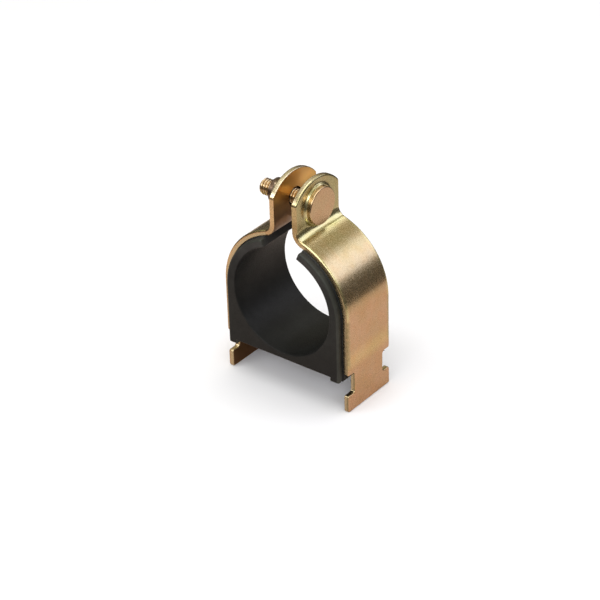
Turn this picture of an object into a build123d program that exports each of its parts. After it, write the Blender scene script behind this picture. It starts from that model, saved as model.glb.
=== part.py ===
from build123d import *
from math import acos, cos, degrees, hypot, pi, radians, sin, sqrt
import os

# Strut pipe clamp with a moulded cushion.
# Origin at the centre of the bore, +Y along the bore, +X towards the bolt head and +Z up.
# The clamp stands on the cushion's two feet, and its hooks reach down below them.
# All lengths are in millimetres.

# Cushion
bore_radius = 27.0
cushion_wall = 4.2
pad_margin = 0.15  # pad under the strap, beyond each of its edges
flange_width = 3.025  # rubber beside the pad
flange_inset = 0.3  # from the pad's face down to the flange's
flange_chamfer = 1.0  # along the flange's outer rim
cushion_setback = 3.1  # degrees from the rubber's ends to the bends
cushion_chamfer = 0.5  # along its other rims
cushion_web = 3.4  # rubber below the lowest point of the bore
foot_height = 1.9
foot_width = 5.3

# Strap of the two halves
strap_width = 31.75
strap_thickness = 2.66
strap_gap = 0.25  # between the cushion and the strap
strap_edge_chamfer = 0.3  # along its sheared rims
arc_drop = 1.0  # from the bore's centre down to the centre of the strap's arc
bend_radius = 3.2  # inside of the bend below the ear
ear_gap = 10.0
ear_shoulder = 5.7  # from the bolt's axis up to the ear's corners
ear_crown = 13.5  # and up to the top of its arc
ear_trim = 2.0  # strap above that arc before it is trimmed

# Shoulders, necks and hooks at the lower ends of the strap
shoulder_rise = 3.4  # from the feet up to the strap's shoulders
lip_reach = 7.4  # from the feet down to the top of the hook
hook_height = 8.7
neck_width = 21.5
notch_corner_radius = 1.5
hook_corner_radius = 1.0

# Bolt
bolt_diameter = 7.94
bolt_length = 31.75  # below the head
bolt_tip_chamfer = 0.9
head_radius = 9.1
head_thickness = 1.9
head_chamfer = 0.35
head_dip = 0.4  # head's rim below the start of the bend
neck_step = 0.08  # square neck beyond the shank
square_neck_length = 3.3

# Pressed ring round the bolt head, and the holes in the two ears
ring_height = 1.0
ring_margin = 0.45  # ring's flat top beyond the head
ring_flank = 0.7  # spread of its sloping side
ring_edge_radius = 0.4
recess_inset = 1.5  # radius of the ring less that of the recess behind it
square_hole_gap = 0.15
round_hole_gap = 0.9

# Locknut
nut_sides = 6
nut_across_flats = 12.7
nut_hex_height = 6.3
nut_collar_height = 2.4
nut_collar_step = 0.4  # collar inside the flats
nut_corner_chamfer = 0.7
nut_bore_chamfer = 0.6
nut_seat_gap = 0.02
thread_gap = 0.08  # round the shank
collar_wall = 0.75
crimp_reach = 0.5  # collar's rim over the locking ring
crimp_thickness = 0.4
insert_gap = 0.05

# Worked out from the sizes above
cushion_radius = bore_radius + cushion_wall + arc_drop
pad_width = strap_width + 2 * pad_margin
flange_radius = cushion_radius - flange_inset
strap_inner = cushion_radius + strap_gap
strap_outer = strap_inner + strap_thickness
half_width = strap_width / 2
web_bottom = -bore_radius - cushion_web
foot_bottom = web_bottom - foot_height
foot_inner = cushion_radius - foot_width
shoulder = foot_bottom + shoulder_rise
hook_top = foot_bottom - lip_reach
hook_bottom = hook_top - hook_height
ear_inner = ear_gap / 2
ear_outer = ear_inner + strap_thickness
bend_x = ear_outer + bend_radius
bend_z = sqrt((strap_outer + bend_radius) ** 2 - bend_x**2) - arc_drop
bend_angle = degrees(acos(bend_x / (strap_outer + bend_radius)))
cushion_end_angle = bend_angle - cushion_setback
bolt_height = bend_z + head_radius - head_dip
ear_side_height = bolt_height + ear_shoulder
ear_top_height = bolt_height + ear_crown
untrimmed_top = ear_top_height + ear_trim
ear_rise = ear_crown - ear_shoulder
ear_top_radius = (half_width**2 + ear_rise**2) / (2 * ear_rise)
ring_top_radius = head_radius + ring_margin
ring_base_radius = ring_top_radius + ring_flank
head_seat = ear_outer + ring_height
head_face = head_seat + head_thickness
bolt_tip = head_seat - bolt_length
shank_radius = bolt_diameter / 2
square_neck = bolt_diameter + 2 * neck_step
square_hole = square_neck + 2 * square_hole_gap
nut_face = -ear_outer - nut_seat_gap
nut_hex_end = nut_face - nut_hex_height
nut_end = nut_hex_end - nut_collar_height
nut_corner_radius = nut_across_flats / 2 / cos(pi / nut_sides)
nut_bore_radius = shank_radius + thread_gap
nut_collar_radius = nut_across_flats / 2 - nut_collar_step
insert_seat_radius = nut_collar_radius - collar_wall
crimp_face = nut_end + crimp_thickness

bolt_axis = Axis((0, 0, bolt_height), (1, 0, 0))
bolt_plane = Plane((0, 0, bolt_height), x_dir=(1, 0, 0), z_dir=(0, -1, 0))

os.makedirs("parts", exist_ok=True)


def is_strap_rim(edge):
    """Tell the strap's sheared rims from its thickness edges and the lines across its bends."""
    across_thickness = abs(edge.length - strap_thickness) < 1e-3
    across_width = abs(edge.length - strap_width) < 1e-3
    return not across_thickness and not across_width


def bent_strap(side):
    """Bend the strap in its side view, then trim it to its outline seen along X."""
    bent_plane = Plane((0, 0, 0), x_dir=(side, 0, 0), z_dir=(0, -side, 0))
    outline_plane = Plane((0, 0, 0), x_dir=(0, side, 0), z_dir=(side, 0, 0))

    with BuildSketch(bent_plane) as section:
        with BuildLine():
            Line((strap_inner, hook_bottom), (strap_outer, hook_bottom))
            Line((strap_outer, hook_bottom), (strap_outer, -arc_drop))
            CenterArc((0, -arc_drop), strap_outer, 0, bend_angle)
            CenterArc((bend_x, bend_z), bend_radius, 180, bend_angle)
            Line((ear_outer, bend_z), (ear_outer, untrimmed_top))
            Line((ear_outer, untrimmed_top), (ear_inner, untrimmed_top))
            Line((ear_inner, untrimmed_top), (ear_inner, bend_z))
            CenterArc((bend_x, bend_z), bend_radius + strap_thickness, 180, bend_angle)
            CenterArc((0, -arc_drop), strap_inner, 0, bend_angle)
            Line((strap_inner, -arc_drop), (strap_inner, hook_bottom))
        make_face()
    extrude(section.sketch, amount=half_width, both=True)

    with BuildSketch(outline_plane) as outline:
        with BuildLine():
            RadiusArc(
                (-half_width, ear_side_height), (half_width, ear_side_height), ear_top_radius
            )
            edge_line = FilletPolyline(
                (half_width, ear_side_height),
                (half_width, shoulder),
                (neck_width / 2, shoulder),
                (neck_width / 2, hook_top),
                (half_width, hook_top),
                (half_width, hook_bottom),
                (0, hook_bottom),
                radius=[
                    hook_corner_radius,
                    notch_corner_radius,
                    notch_corner_radius,
                    hook_corner_radius,
                    hook_corner_radius,
                ],
            )
            mirror(edge_line, about=Plane.YZ)
        make_face()
    extrude(outline.sketch, amount=2 * strap_outer, mode=Mode.INTERSECT)
    chamfer(edges().filter_by(is_strap_rim), strap_edge_chamfer)


def cushion_outline(outer_radius, offset=0.0):
    """Draw the cushion's end view with its outer face at the given radius."""
    end_x = outer_radius * cos(radians(cushion_end_angle))
    end_z = outer_radius * sin(radians(cushion_end_angle)) - arc_drop
    with BuildSketch(Plane.XZ.offset(offset)) as outline:
        with BuildLine():
            bore = CenterArc(
                (0, 0), bore_radius, 180 - cushion_end_angle, 180 + 2 * cushion_end_angle
            )
            Line(bore @ 1, (end_x, end_z))
            CenterArc((0, -arc_drop), outer_radius, 0, cushion_end_angle)
            Polyline(
                (outer_radius, -arc_drop),
                (outer_radius, foot_bottom),
                (foot_inner, foot_bottom),
                (foot_inner, web_bottom),
                (-foot_inner, web_bottom),
                (-foot_inner, foot_bottom),
                (-outer_radius, foot_bottom),
                (-outer_radius, -arc_drop),
            )
            CenterArc((0, -arc_drop), outer_radius, 180 - cushion_end_angle, cushion_end_angle)
            Line((-end_x, end_z), bore @ 0)
        make_face()
    return outline.sketch


def is_outer_rim(edge):
    """Tell the rims of the flanges' outer face, round the arc and down the legs."""
    middle = edge @ 0.5
    on_leg = middle.Z < -arc_drop
    reach = abs(middle.X) if on_leg else hypot(middle.X, middle.Z + arc_drop)
    return abs(reach - flange_radius) < 1e-3


def turned(points, mode=Mode.ADD):
    """Turn an outline of (X, radius) points about the bolt's axis."""
    with BuildSketch(bolt_plane) as section:
        with BuildLine():
            Polyline(*points, close=True)
        make_face()
    revolve(section.sketch, axis=bolt_axis, mode=mode)


# Half on the bolt head's side, with the pressed ring and a square hole
with BuildPart() as clamp_half_head_side:
    bent_strap(1)
    turned(
        [
            (ear_inner + ring_height, 0),
            (ear_inner + ring_height, ring_base_radius),
            (ear_outer, ring_base_radius),
            (head_seat, ring_top_radius),
            (head_seat, 0),
        ]
    )
    ring_edges = edges(Select.LAST).filter_by(GeomType.CIRCLE)
    fillet(ring_edges.sort_by(Axis.X)[-1], ring_edge_radius)
    turned(
        [
            (0, 0),
            (0, ring_base_radius - recess_inset),
            (ear_inner, ring_base_radius - recess_inset),
            (ear_inner + ring_height, ring_top_radius - recess_inset),
            (ear_inner + ring_height, 0),
        ],
        mode=Mode.SUBTRACT,
    )
    with BuildSketch(Plane.YZ.offset(head_seat)):
        with Locations((0, bolt_height)):
            Rectangle(square_hole, square_hole)
    extrude(amount=-head_seat, mode=Mode.SUBTRACT)
clamp_half_head_side.part.label = "clamp_half_head_side"
export_step(clamp_half_head_side.part, "parts/clamp_half_head_side.step")

# Half on the nut's side, with a plain round hole
with BuildPart() as clamp_half_nut_side:
    bent_strap(-1)
    with BuildSketch(Plane.YZ.offset(-ear_outer)):
        with Locations((0, bolt_height)):
            Circle(shank_radius + round_hole_gap)
    extrude(amount=ear_outer, mode=Mode.SUBTRACT)
clamp_half_nut_side.part.label = "clamp_half_nut_side"
export_step(clamp_half_nut_side.part, "parts/clamp_half_nut_side.step")

# Cushion, with a pad under the strap, a lower flange on each side of it and two feet below
with BuildPart() as cushion:
    extrude(cushion_outline(cushion_radius), amount=pad_width / 2, both=True)
    for side in (1, -1):
        extrude(cushion_outline(flange_radius, side * pad_width / 2), amount=side * flange_width)
    end_faces = faces().filter_by(Axis.Y).sort_by(Axis.Y)
    end_rims = end_faces[0].edges() + end_faces[-1].edges()
    outer_rims = end_rims.filter_by(is_outer_rim)
    chamfer([rim for rim in end_rims if rim not in outer_rims], cushion_chamfer)
    end_faces = faces().filter_by(Axis.Y).sort_by(Axis.Y)
    end_rims = end_faces[0].edges() + end_faces[-1].edges()
    chamfer(end_rims.filter_by(is_outer_rim), flange_chamfer)
cushion.part.label = "cushion"
export_step(cushion.part, "parts/cushion.step")

# Bolt with a flat round head and a square neck
with BuildPart() as clamp_bolt:
    turned(
        [
            (bolt_tip, 0),
            (bolt_tip, shank_radius - bolt_tip_chamfer),
            (bolt_tip + bolt_tip_chamfer, shank_radius),
            (head_seat, shank_radius),
            (head_seat, head_radius),
            (head_face, head_radius),
            (head_face, 0),
        ]
    )
    chamfer(edges().filter_by(GeomType.CIRCLE).sort_by(Axis.X)[-1], head_chamfer)
    with BuildSketch(Plane.YZ.offset(head_seat)):
        with Locations((0, bolt_height)):
            Rectangle(square_neck, square_neck)
    extrude(amount=-square_neck_length)
clamp_bolt.part.label = "clamp_bolt"
export_step(clamp_bolt.part, "parts/clamp_bolt.step")

# Hexagon locknut with a round collar, crimped over its locking ring
with BuildPart() as lock_nut:
    with BuildSketch(Plane.YZ.offset(nut_face)):
        with Locations((0, bolt_height)):
            RegularPolygon(nut_across_flats / 2, nut_sides, major_radius=False)
    extrude(amount=-nut_hex_height)
    turned(
        [
            (nut_face, 0),
            (nut_face, nut_corner_radius - nut_corner_chamfer),
            (nut_face - nut_corner_chamfer / 2, nut_corner_radius),
            (nut_hex_end + nut_corner_chamfer / 2, nut_corner_radius),
            (nut_hex_end, nut_corner_radius - nut_corner_chamfer),
            (nut_hex_end, 0),
        ],
        mode=Mode.INTERSECT,
    )
    turned(
        [
            (nut_hex_end, 0),
            (nut_hex_end, nut_collar_radius),
            (crimp_face, nut_collar_radius),
            (nut_end, nut_collar_radius - crimp_thickness),
            (nut_end, 0),
        ]
    )
    turned(
        [
            (nut_face, 0),
            (nut_face, nut_bore_radius + nut_bore_chamfer),
            (nut_face - nut_bore_chamfer, nut_bore_radius),
            (nut_hex_end, nut_bore_radius),
            (nut_hex_end, insert_seat_radius),
            (crimp_face, insert_seat_radius),
            (crimp_face, insert_seat_radius - crimp_reach),
            (nut_end, insert_seat_radius - crimp_reach),
            (nut_end, 0),
        ],
        mode=Mode.SUBTRACT,
    )
lock_nut.part.label = "lock_nut"
export_step(lock_nut.part, "parts/lock_nut.step")

# Plastic locking ring inside the nut's collar
with BuildPart() as nut_insert:
    turned(
        [
            (nut_hex_end, nut_bore_radius),
            (nut_hex_end, insert_seat_radius - insert_gap),
            (crimp_face, insert_seat_radius - insert_gap),
            (crimp_face, nut_bore_radius),
        ]
    )
nut_insert.part.label = "nut_insert"
export_step(nut_insert.part, "parts/nut_insert.step")
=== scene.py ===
import logging
from dataclasses import dataclass, replace
from enum import Enum
from math import acos, asin, atan2, ceil, cos, degrees, hypot, pi, radians, sin, sqrt
from typing import Callable

import bmesh
import bpy
from mathutils import Matrix, Vector


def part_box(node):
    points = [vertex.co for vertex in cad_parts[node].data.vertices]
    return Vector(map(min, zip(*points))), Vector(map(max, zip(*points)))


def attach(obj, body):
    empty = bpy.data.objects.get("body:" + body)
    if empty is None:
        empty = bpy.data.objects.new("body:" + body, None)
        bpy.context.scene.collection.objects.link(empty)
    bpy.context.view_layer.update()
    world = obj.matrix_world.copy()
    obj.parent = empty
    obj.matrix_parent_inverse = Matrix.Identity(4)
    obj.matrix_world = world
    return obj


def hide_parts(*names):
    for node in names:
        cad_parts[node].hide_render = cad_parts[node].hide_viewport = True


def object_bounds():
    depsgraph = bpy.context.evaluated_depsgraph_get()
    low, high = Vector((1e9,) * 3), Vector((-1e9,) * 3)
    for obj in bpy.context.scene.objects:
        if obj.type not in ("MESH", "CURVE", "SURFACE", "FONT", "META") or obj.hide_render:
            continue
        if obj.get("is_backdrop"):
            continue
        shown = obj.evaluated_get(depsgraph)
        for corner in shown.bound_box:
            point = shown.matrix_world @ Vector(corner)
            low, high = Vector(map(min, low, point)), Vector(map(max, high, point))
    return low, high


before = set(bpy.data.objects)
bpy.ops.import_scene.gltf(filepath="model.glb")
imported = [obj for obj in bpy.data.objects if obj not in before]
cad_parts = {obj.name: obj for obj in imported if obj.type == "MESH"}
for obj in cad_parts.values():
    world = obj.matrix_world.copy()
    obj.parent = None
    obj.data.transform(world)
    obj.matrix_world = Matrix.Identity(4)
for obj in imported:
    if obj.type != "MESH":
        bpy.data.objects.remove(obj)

log = logging.getLogger("strut_pipe_clamp")

MM = 0.001
MERGE_DISTANCE = 0.0004 * MM
KEY_STEP = 0.001 * MM
RIM_ATTRIBUTE = "rim"
INNER_ATTRIBUTE = "inner"
DRAWN_AND_HIGHLIGHT_ATTRIBUTE = "drawn"
SHEARED_BAND_LIGHT_ATTRIBUTE = "sheared"
SQUARE_HOLE_HALF = 4.2 * MM
ROUND_HOLE_RADIUS = 4.87 * MM
HEX_HALF_TURN = pi / 6

Point = tuple[float, float]
Span = tuple[float, float]
Colour = tuple[float, float, float]
Grade = tuple[tuple[float, Colour], ...]
RadiusAt = Callable[[float], float]


class Side(Enum):
    """The half of the clamp, as the sign of its X."""

    HEAD = 1
    NUT = -1


class Slot(Enum):
    """Names of material slots for the pieces that are built here, which nothing in the script
    uses.
    """

    STEEL = "plated_steel"
    RUBBER = "moulded_rubber"
    BOLT = "plated_bolt"
    NUT = "nut_steel"


def smoothstep(value: float) -> float:
    """Return the smooth rise from 0 to 1 of a value, flat outside that range."""
    value = min(max(value, 0.0), 1.0)
    return value * value * (3.0 - 2.0 * value)


def spread(start: float, end: float, steps: int) -> list[float]:
    """Return evenly spaced values.

    Args:
        start: The first value.
        end: The last value.
        steps: How many steps lie between them.

    Returns:
        The values, one more than the steps.
    """
    return [start + (end - start) * i / steps for i in range(steps + 1)]


def rounded_corners(points: list[Point], radii: list[float], steps: int) -> list[Point]:
    """Round the inner corners of an open outline with tangent arcs.

    Args:
        points: The outline's corners, with both ends.
        radii: A radius for each inner corner.
        steps: Steps along each arc.

    Returns:
        The outline's points with the arcs put in.
    """
    result = [points[0]]
    for before, corner, after, radius in zip(points, points[1:], points[2:], radii):
        into = (Vector(before) - Vector(corner)).normalized()
        away = (Vector(after) - Vector(corner)).normalized()
        half_angle = into.angle(away) / 2
        reach = radius / sin(half_angle)
        centre = Vector(corner) + (into + away).normalized() * reach
        start = Vector(corner) + into * reach * cos(half_angle) - centre
        end = Vector(corner) + away * reach * cos(half_angle) - centre
        first = atan2(start.y, start.x)
        sweep = (atan2(end.y, end.x) - first + pi) % (2 * pi) - pi
        for angle in spread(first, first + sweep, steps):
            result.append((centre.x + radius * cos(angle), centre.y + radius * sin(angle)))
    result.append(points[-1])
    return result


def circle_radius(radius: float) -> RadiusAt:
    """Return the radius of a circle as a function of the angle."""
    return lambda angle: radius


def square_radius(half_side: float) -> RadiusAt:
    """Return the radius of a square as a function of the angle."""
    return lambda angle: half_side / max(abs(cos(angle)), abs(sin(angle)))


def add_loops(
    mesh_data: bmesh.types.BMesh, loops: list[list[Vector]], ring: bool = False
) -> list[list[bmesh.types.BMVert]]:
    """Join closed loops of points into a wall of quads.

    Args:
        mesh_data: The mesh that the quads go into.
        loops: Loops with the same number of points, in the order in which they join.
        ring: Whether the last loop is joined to the first one.

    Returns:
        The new vertices, loop by loop.
    """
    rows = [[mesh_data.verts.new(point) for point in loop] for loop in loops]
    pairs = list(zip(rows, rows[1:]))
    if ring:
        pairs.append((rows[-1], rows[0]))
    for lower, upper in pairs:
        for i in range(len(lower)):
            mesh_data.faces.new((lower[i - 1], lower[i], upper[i], upper[i - 1]))
    return rows


def add_strips(
    mesh_data: bmesh.types.BMesh, rows: list[list[Vector]]
) -> list[list[bmesh.types.BMVert]]:
    """Join open rows of points into strips of quads.

    Args:
        mesh_data: The mesh that the quads go into.
        rows: Rows with the same number of points, in order.

    Returns:
        The new vertices, row by row.
    """
    new = [[mesh_data.verts.new(point) for point in row] for row in rows]
    for upper, lower in zip(new, new[1:]):
        for i in range(1, len(upper)):
            mesh_data.faces.new((upper[i - 1], upper[i], lower[i], lower[i - 1]))
    return new


def merge_doubles(mesh_data: bmesh.types.BMesh) -> None:
    """Merge the vertices that lie on each other."""
    bmesh.ops.remove_doubles(mesh_data, verts=mesh_data.verts, dist=MERGE_DISTANCE)


def round_edges(
    mesh_data: bmesh.types.BMesh, edges: list[bmesh.types.BMEdge], radius: float, segments: int
) -> None:
    """Round some edges of a mesh to a radius, in so many segments."""
    bmesh.ops.bevel(
        mesh_data, geom=edges, offset=radius, segments=segments, profile=0.5, affect="EDGES"
    )


def finished_piece(
    name: str, mesh_data: bmesh.types.BMesh, smooth_angle: float
) -> bpy.types.Object:
    """Turn finished mesh data into an object of the scene.

    Args:
        name: The piece's name.
        mesh_data: The piece's mesh, which is freed here.
        smooth_angle: Edges that turn by more than this, in degrees, stay crisp.

    Returns:
        The new object.
    """
    bmesh.ops.recalc_face_normals(mesh_data, faces=mesh_data.faces)
    for face in mesh_data.faces:
        face.smooth = True
    mesh = bpy.data.meshes.new(name)
    mesh_data.to_mesh(mesh)
    mesh_data.free()
    mesh.set_sharp_from_angle(angle=radians(smooth_angle))
    piece = bpy.data.objects.new(name, mesh)
    bpy.context.scene.collection.objects.link(piece)
    weighted = piece.modifiers.new("weighted_normals", "WEIGHTED_NORMAL")
    weighted.keep_sharp = True
    return piece


@dataclass(frozen=True)
class BoltLine:
    """The line that the bolt, the nut and the holes share.

    Attributes:
        height: Its height above the bore's centre.
    """

    height: float

    def point(self, x: float, radius: float, angle: float) -> Vector:
        """Return the point at a radius and an angle from +Y about the line."""
        return Vector((x, radius * cos(angle), self.height + radius * sin(angle)))

    def loop(self, x: float, radius: RadiusAt, count: int) -> list[Vector]:
        """Return a closed loop of points about the line.

        Args:
            x: Where the loop stands along the line.
            radius: The loop's radius at each angle.
            count: How many points it has.

        Returns:
            The loop's points.
        """
        angles = [2 * pi * i / count for i in range(count)]
        return [self.point(x, radius(angle), angle) for angle in angles]


@dataclass
class StrapHalf:
    """One half of the clamp: a strap with an ear at its top and a hook at its foot.

    The strap is drawn flat, as its blank was cut, in widths along Y and lengths
    along the strap, with length 0 where the leg turns into the arc. Then it is bent.

    Attributes:
        side: Which half it is.
        hole_edge: The hole's radius at each angle.
        line: The bolt's line.
        outer_radius: Radius of the strap's outer face round the bore.
        half_width: Half the strap's width.
        ear_inner: From the middle plane to the ear's inner face.
        hook_bottom: Height of the hook's lower edge.
        sheared_from: Depth where the burnished band of a sheared edge starts; the band is partly
            painted light.
        sheared_full: Depth where it is complete.
        ring_middle: Radius where the pressed ring's side is halfway down.
        recess_middle: Radius where the recess behind the ring is halfway down.
        ring_slope: Spread of those two slopes.
        disc_radius: Radius of the round zone that holds the ring.
        disc_bend_share: Share of the bend that belongs to the ear's zone.
        drawn_run: Length over which the drawn metal, with its painted highlight, fades in and out.
        drawn_past_bend: Share of that length that lies past the bend.
        roll_width: Width of the outer face that rolls over towards a sheared edge.
        roll_fade: Length over which the roll fades out above the foot.
        arc_roll: How drawn the metal is where it rolls over on the arc, which lays a painted
            highlight along the edge.
        leg_roll: How drawn it is there on the leg.
        leg_roll_rim: How much of a rim's tint it has there on the leg, where that tint is painted
            shade.
    """

    side: Side
    hole_edge: RadiusAt
    line: BoltLine
    outer_radius: float
    half_width: float
    ear_inner: float
    hook_bottom: float
    thickness: float = 2.66 * MM
    bend_radius: float = 4.4 * MM
    ear_crown: float = 13.5 * MM
    ear_shoulder: float = 5.7 * MM
    arc_drop: float = 1.0 * MM
    shoulder: float = -28.9 * MM
    hook_top: float = -39.7 * MM
    neck_half_width: float = 10.75 * MM
    notch_corner: float = 1.5 * MM
    hook_corner: float = 1.0 * MM
    leg_end: float = -26.0 * MM
    outer_rim: float = 0.7 * MM
    inner_rim: float = 0.35 * MM
    sheared_from: float = 0.9 * MM
    sheared_full: float = 1.4 * MM
    sheared_steps: int = 2
    ring_height: float = 1.0 * MM
    ring_middle: float = 9.9 * MM
    recess_middle: float = 8.4 * MM
    ring_slope: float = 1.1 * MM
    disc_radius: float = 11.3 * MM
    disc_bend_share: float = 0.8
    drawn_run: float = 2.4 * MM
    drawn_past_bend: float = 0.5
    roll_width: float = 2.4 * MM
    roll_fade: float = 4.0 * MM
    arc_roll: float = 0.9
    leg_roll: float = 0.5
    leg_roll_rim: float = 0.85
    spokes: int = 144
    slope_steps: int = 10
    edge_steps: int = 3
    bend_steps: int = 4
    arc_step: float = 2.5
    leg_steps: int = 6
    corner_steps: int = 8
    rim_segments: int = 4
    rim_turn: float = 45.0
    smooth_angle: float = 50.0

    def __post_init__(self) -> None:
        """Work out the bend, the lengths along the strap and the ear's arc."""
        self.ear_outer = self.ear_inner + self.thickness
        self.bend_x = self.ear_outer + self.bend_radius
        reach = self.outer_radius + self.bend_radius
        self.bend_z = sqrt(reach**2 - self.bend_x**2) - self.arc_drop
        self.bend_angle = acos(self.bend_x / reach)
        self.arc_end = self.outer_radius * self.bend_angle
        self.bend_end = self.arc_end + self.bend_radius * self.bend_angle
        self.bolt_length = self.bend_end + self.line.height - self.bend_z
        self.disc_start = self.bend_end - self.disc_bend_share * (self.bend_end - self.arc_end)
        rise = self.ear_crown - self.ear_shoulder
        self.crown_radius = (self.half_width**2 + rise**2) / (2 * rise)

    def bent(self, length: float, depth: float) -> tuple[float, float]:
        """Return the place in the side view of a point of the blank.

        Args:
            length: Length along the strap.
            depth: Depth below its outer face.

        Returns:
            Its X, as on the head's side, and its Z.
        """
        if length < 0.0:
            return self.outer_radius - depth, length - self.arc_drop
        if length < self.arc_end:
            angle = length / self.outer_radius
            radius = self.outer_radius - depth
            return radius * cos(angle), radius * sin(angle) - self.arc_drop
        if length < self.bend_end:
            angle = self.bend_angle - (length - self.arc_end) / self.bend_radius
            radius = self.bend_radius + depth
            return self.bend_x - radius * cos(angle), self.bend_z - radius * sin(angle)
        return self.ear_outer - depth, self.bend_z + length - self.bend_end

    def ear_edge(self, angle: float) -> float:
        """Return how far the edge of the ear's zone lies from the bolt at an angle."""
        across, along = cos(angle), sin(angle)
        side = self.half_width / max(abs(across), MERGE_DISTANCE)
        if along < 0.0:
            return min(side, (self.bolt_length - self.disc_start) / -along)
        drop = self.crown_radius - self.ear_crown
        arc = sqrt((drop * along) ** 2 + self.crown_radius**2 - drop**2) - drop * along
        return min(side, arc)

    def ear_angles(self) -> list[float]:
        """Return the angles of the ear's spokes, with one at each of its corners."""
        drop = self.disc_start - self.bolt_length
        corners = [
            atan2(height, across) % (2 * pi)
            for height in (self.ear_shoulder, drop)
            for across in (self.half_width, -self.half_width)
        ]
        spacing = 2 * pi / self.spokes
        even = [spacing * i for i in range(self.spokes)]
        apart = [a for a in even if min(abs(a - corner) for corner in corners) > spacing / 2]
        return sorted(apart + corners)

    def add_ear(self, mesh_data: bmesh.types.BMesh, depth: float, middle: float) -> list[float]:
        """Add one face of the ear's zone, in loops round the hole.

        Args:
            mesh_data: The blank's mesh.
            depth: Depth of the face below the outer one.
            middle: Radius where the pressed ring or its recess slopes.

        Returns:
            The widths where the zone meets the strip below it.
        """
        angles = self.ear_angles()
        half_slope = self.ring_slope / 2
        slope = spread(middle - half_slope, middle + half_slope, self.slope_steps)
        rows = [[self.hole_edge(angle) for angle in angles]]
        rows += [[radius] * len(angles) for radius in slope]
        for share in spread(0.0, 1.0, self.edge_steps):
            rows.append([
                self.disc_radius + share * (self.ear_edge(angle) - self.disc_radius)
                for angle in angles
            ])
        loops = [
            [
                Vector((radius * cos(angle), self.bolt_length + radius * sin(angle), depth))
                for radius, angle in zip(row, angles)
            ]
            for row in rows
        ]
        edge = add_loops(mesh_data, loops)[-1]
        return sorted(v.co.x for v in edge if v.co.y < self.disc_start + MERGE_DISTANCE)

    def stations(self) -> list[float]:
        """Return the lengths of the strip's cross lines, from the ear down to the leg's end."""
        arc_steps = ceil(degrees(self.bend_angle) / self.arc_step)
        return (
            spread(self.disc_start, self.arc_end, self.bend_steps)
            + spread(self.arc_end, 0.0, arc_steps)[1:]
            + spread(0.0, self.leg_end + self.arc_drop, self.leg_steps)[1:]
        )

    def foot_side(self) -> list[Point]:
        """Return the edge of the leg's lower end, from the leg down to the hook's middle."""
        corners = [
            (self.half_width, self.leg_end),
            (self.half_width, self.shoulder),
            (self.neck_half_width, self.shoulder),
            (self.neck_half_width, self.hook_top),
            (self.half_width, self.hook_top),
            (self.half_width, self.hook_bottom),
            (0.0, self.hook_bottom),
        ]
        corners = [(across, height + self.arc_drop) for across, height in corners]
        hook, notch = self.hook_corner, self.notch_corner
        return rounded_corners(corners, [hook, notch, notch, hook, hook], self.corner_steps)

    def add_strip(self, mesh_data: bmesh.types.BMesh, depth: float, widths: list[float]) -> None:
        """Add one face of the strip below the ear, then the foot's face."""
        rows = [
            [Vector((width, length, depth)) for width in widths] for length in self.stations()
        ]
        last = add_strips(mesh_data, rows)[-1]
        right = self.foot_side()[1:]
        left = [(-across, length) for across, length in reversed(right[:-1])]
        foot = [mesh_data.verts.new((*point, depth)) for point in right + left]
        mesh_data.faces.new(last + foot)

    def join_faces(self, mesh_data: bmesh.types.BMesh) -> None:
        """Close the blank between its two faces, in rows for the sheared band."""

        def place(vert: bmesh.types.BMVert) -> tuple[int, int]:
            """Return the vertex's place on the blank, in whole steps."""
            return round(vert.co.x / KEY_STEP), round(vert.co.y / KEY_STEP)

        depths = spread(self.sheared_from, self.sheared_full, self.sheared_steps)
        open_edges = [edge for edge in mesh_data.edges if edge.is_boundary]
        ends = {vert for edge in open_edges for vert in edge.verts}
        outer = {place(vert): vert for vert in ends if vert.co.z < self.thickness / 2}
        inner = {place(vert): vert for vert in ends if vert.co.z > self.thickness / 2}
        columns = {
            key: [vert]
            + [mesh_data.verts.new((*vert.co.xy, depth)) for depth in depths]
            + [inner[key]]
            for key, vert in outer.items()
        }
        for edge in open_edges:
            if edge.verts[0].co.z > self.thickness / 2:
                continue
            first, second = (columns[place(vert)] for vert in edge.verts)
            for i in range(1, len(first)):
                mesh_data.faces.new((first[i - 1], second[i - 1], second[i], first[i]))

    def round_rims(self, mesh_data: bmesh.types.BMesh) -> None:
        """Round the sheared rims of the flat blank, apart from the hole's."""
        centre = Vector((0.0, self.bolt_length))
        for depth, radius in ((0.0, self.outer_rim), (self.thickness, self.inner_rim)):
            bmesh.ops.recalc_face_normals(mesh_data, faces=mesh_data.faces)
            rims = [
                edge
                for edge in mesh_data.edges
                if edge.calc_face_angle(0.0) > radians(self.rim_turn)
                and all(abs(vert.co.z - depth) < MERGE_DISTANCE for vert in edge.verts)
                and (edge.verts[0].co.xy - centre).length > self.disc_radius / 2
            ]
            round_edges(mesh_data, rims, radius, self.rim_segments)

    def pressed(self, x: float, radius: float, depth: float) -> float:
        """Return a bent point's X with the pressed ring or the recess behind it.

        Args:
            x: The bent point's X.
            radius: Its distance from the bolt's line.
            depth: Its depth below the outer face.

        Returns:
            The new X.
        """
        if depth < MERGE_DISTANCE:
            share = (radius - self.ring_middle) / self.ring_slope + 0.5
            rise = max(0.0, self.ear_outer + self.ring_height - x)
        else:
            share = (radius - self.recess_middle) / self.ring_slope + 0.5
            rise = self.ring_height
        return x + rise * (1.0 - smoothstep(share))

    def drawn(self, length: float) -> float:
        """Return how much the metal is drawn by the bend, from 0 to 1, at a length; the drawn tint
        is partly a painted highlight.
        """
        enter = smoothstep((length - self.arc_end) / self.drawn_run + 1.0)
        leave = smoothstep((self.bend_end - length) / self.drawn_run + self.drawn_past_bend)
        return enter * leave

    def rolled(self, across: float, length: float) -> float:
        """Return how much the outer face rolls over towards the sheared edge, from 0 to 1."""
        near_edge = smoothstep((abs(across) - self.half_width) / self.roll_width + 1.0)
        above_foot = smoothstep((length - self.leg_end - self.arc_drop) / self.roll_fade)
        return near_edge * above_foot

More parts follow.
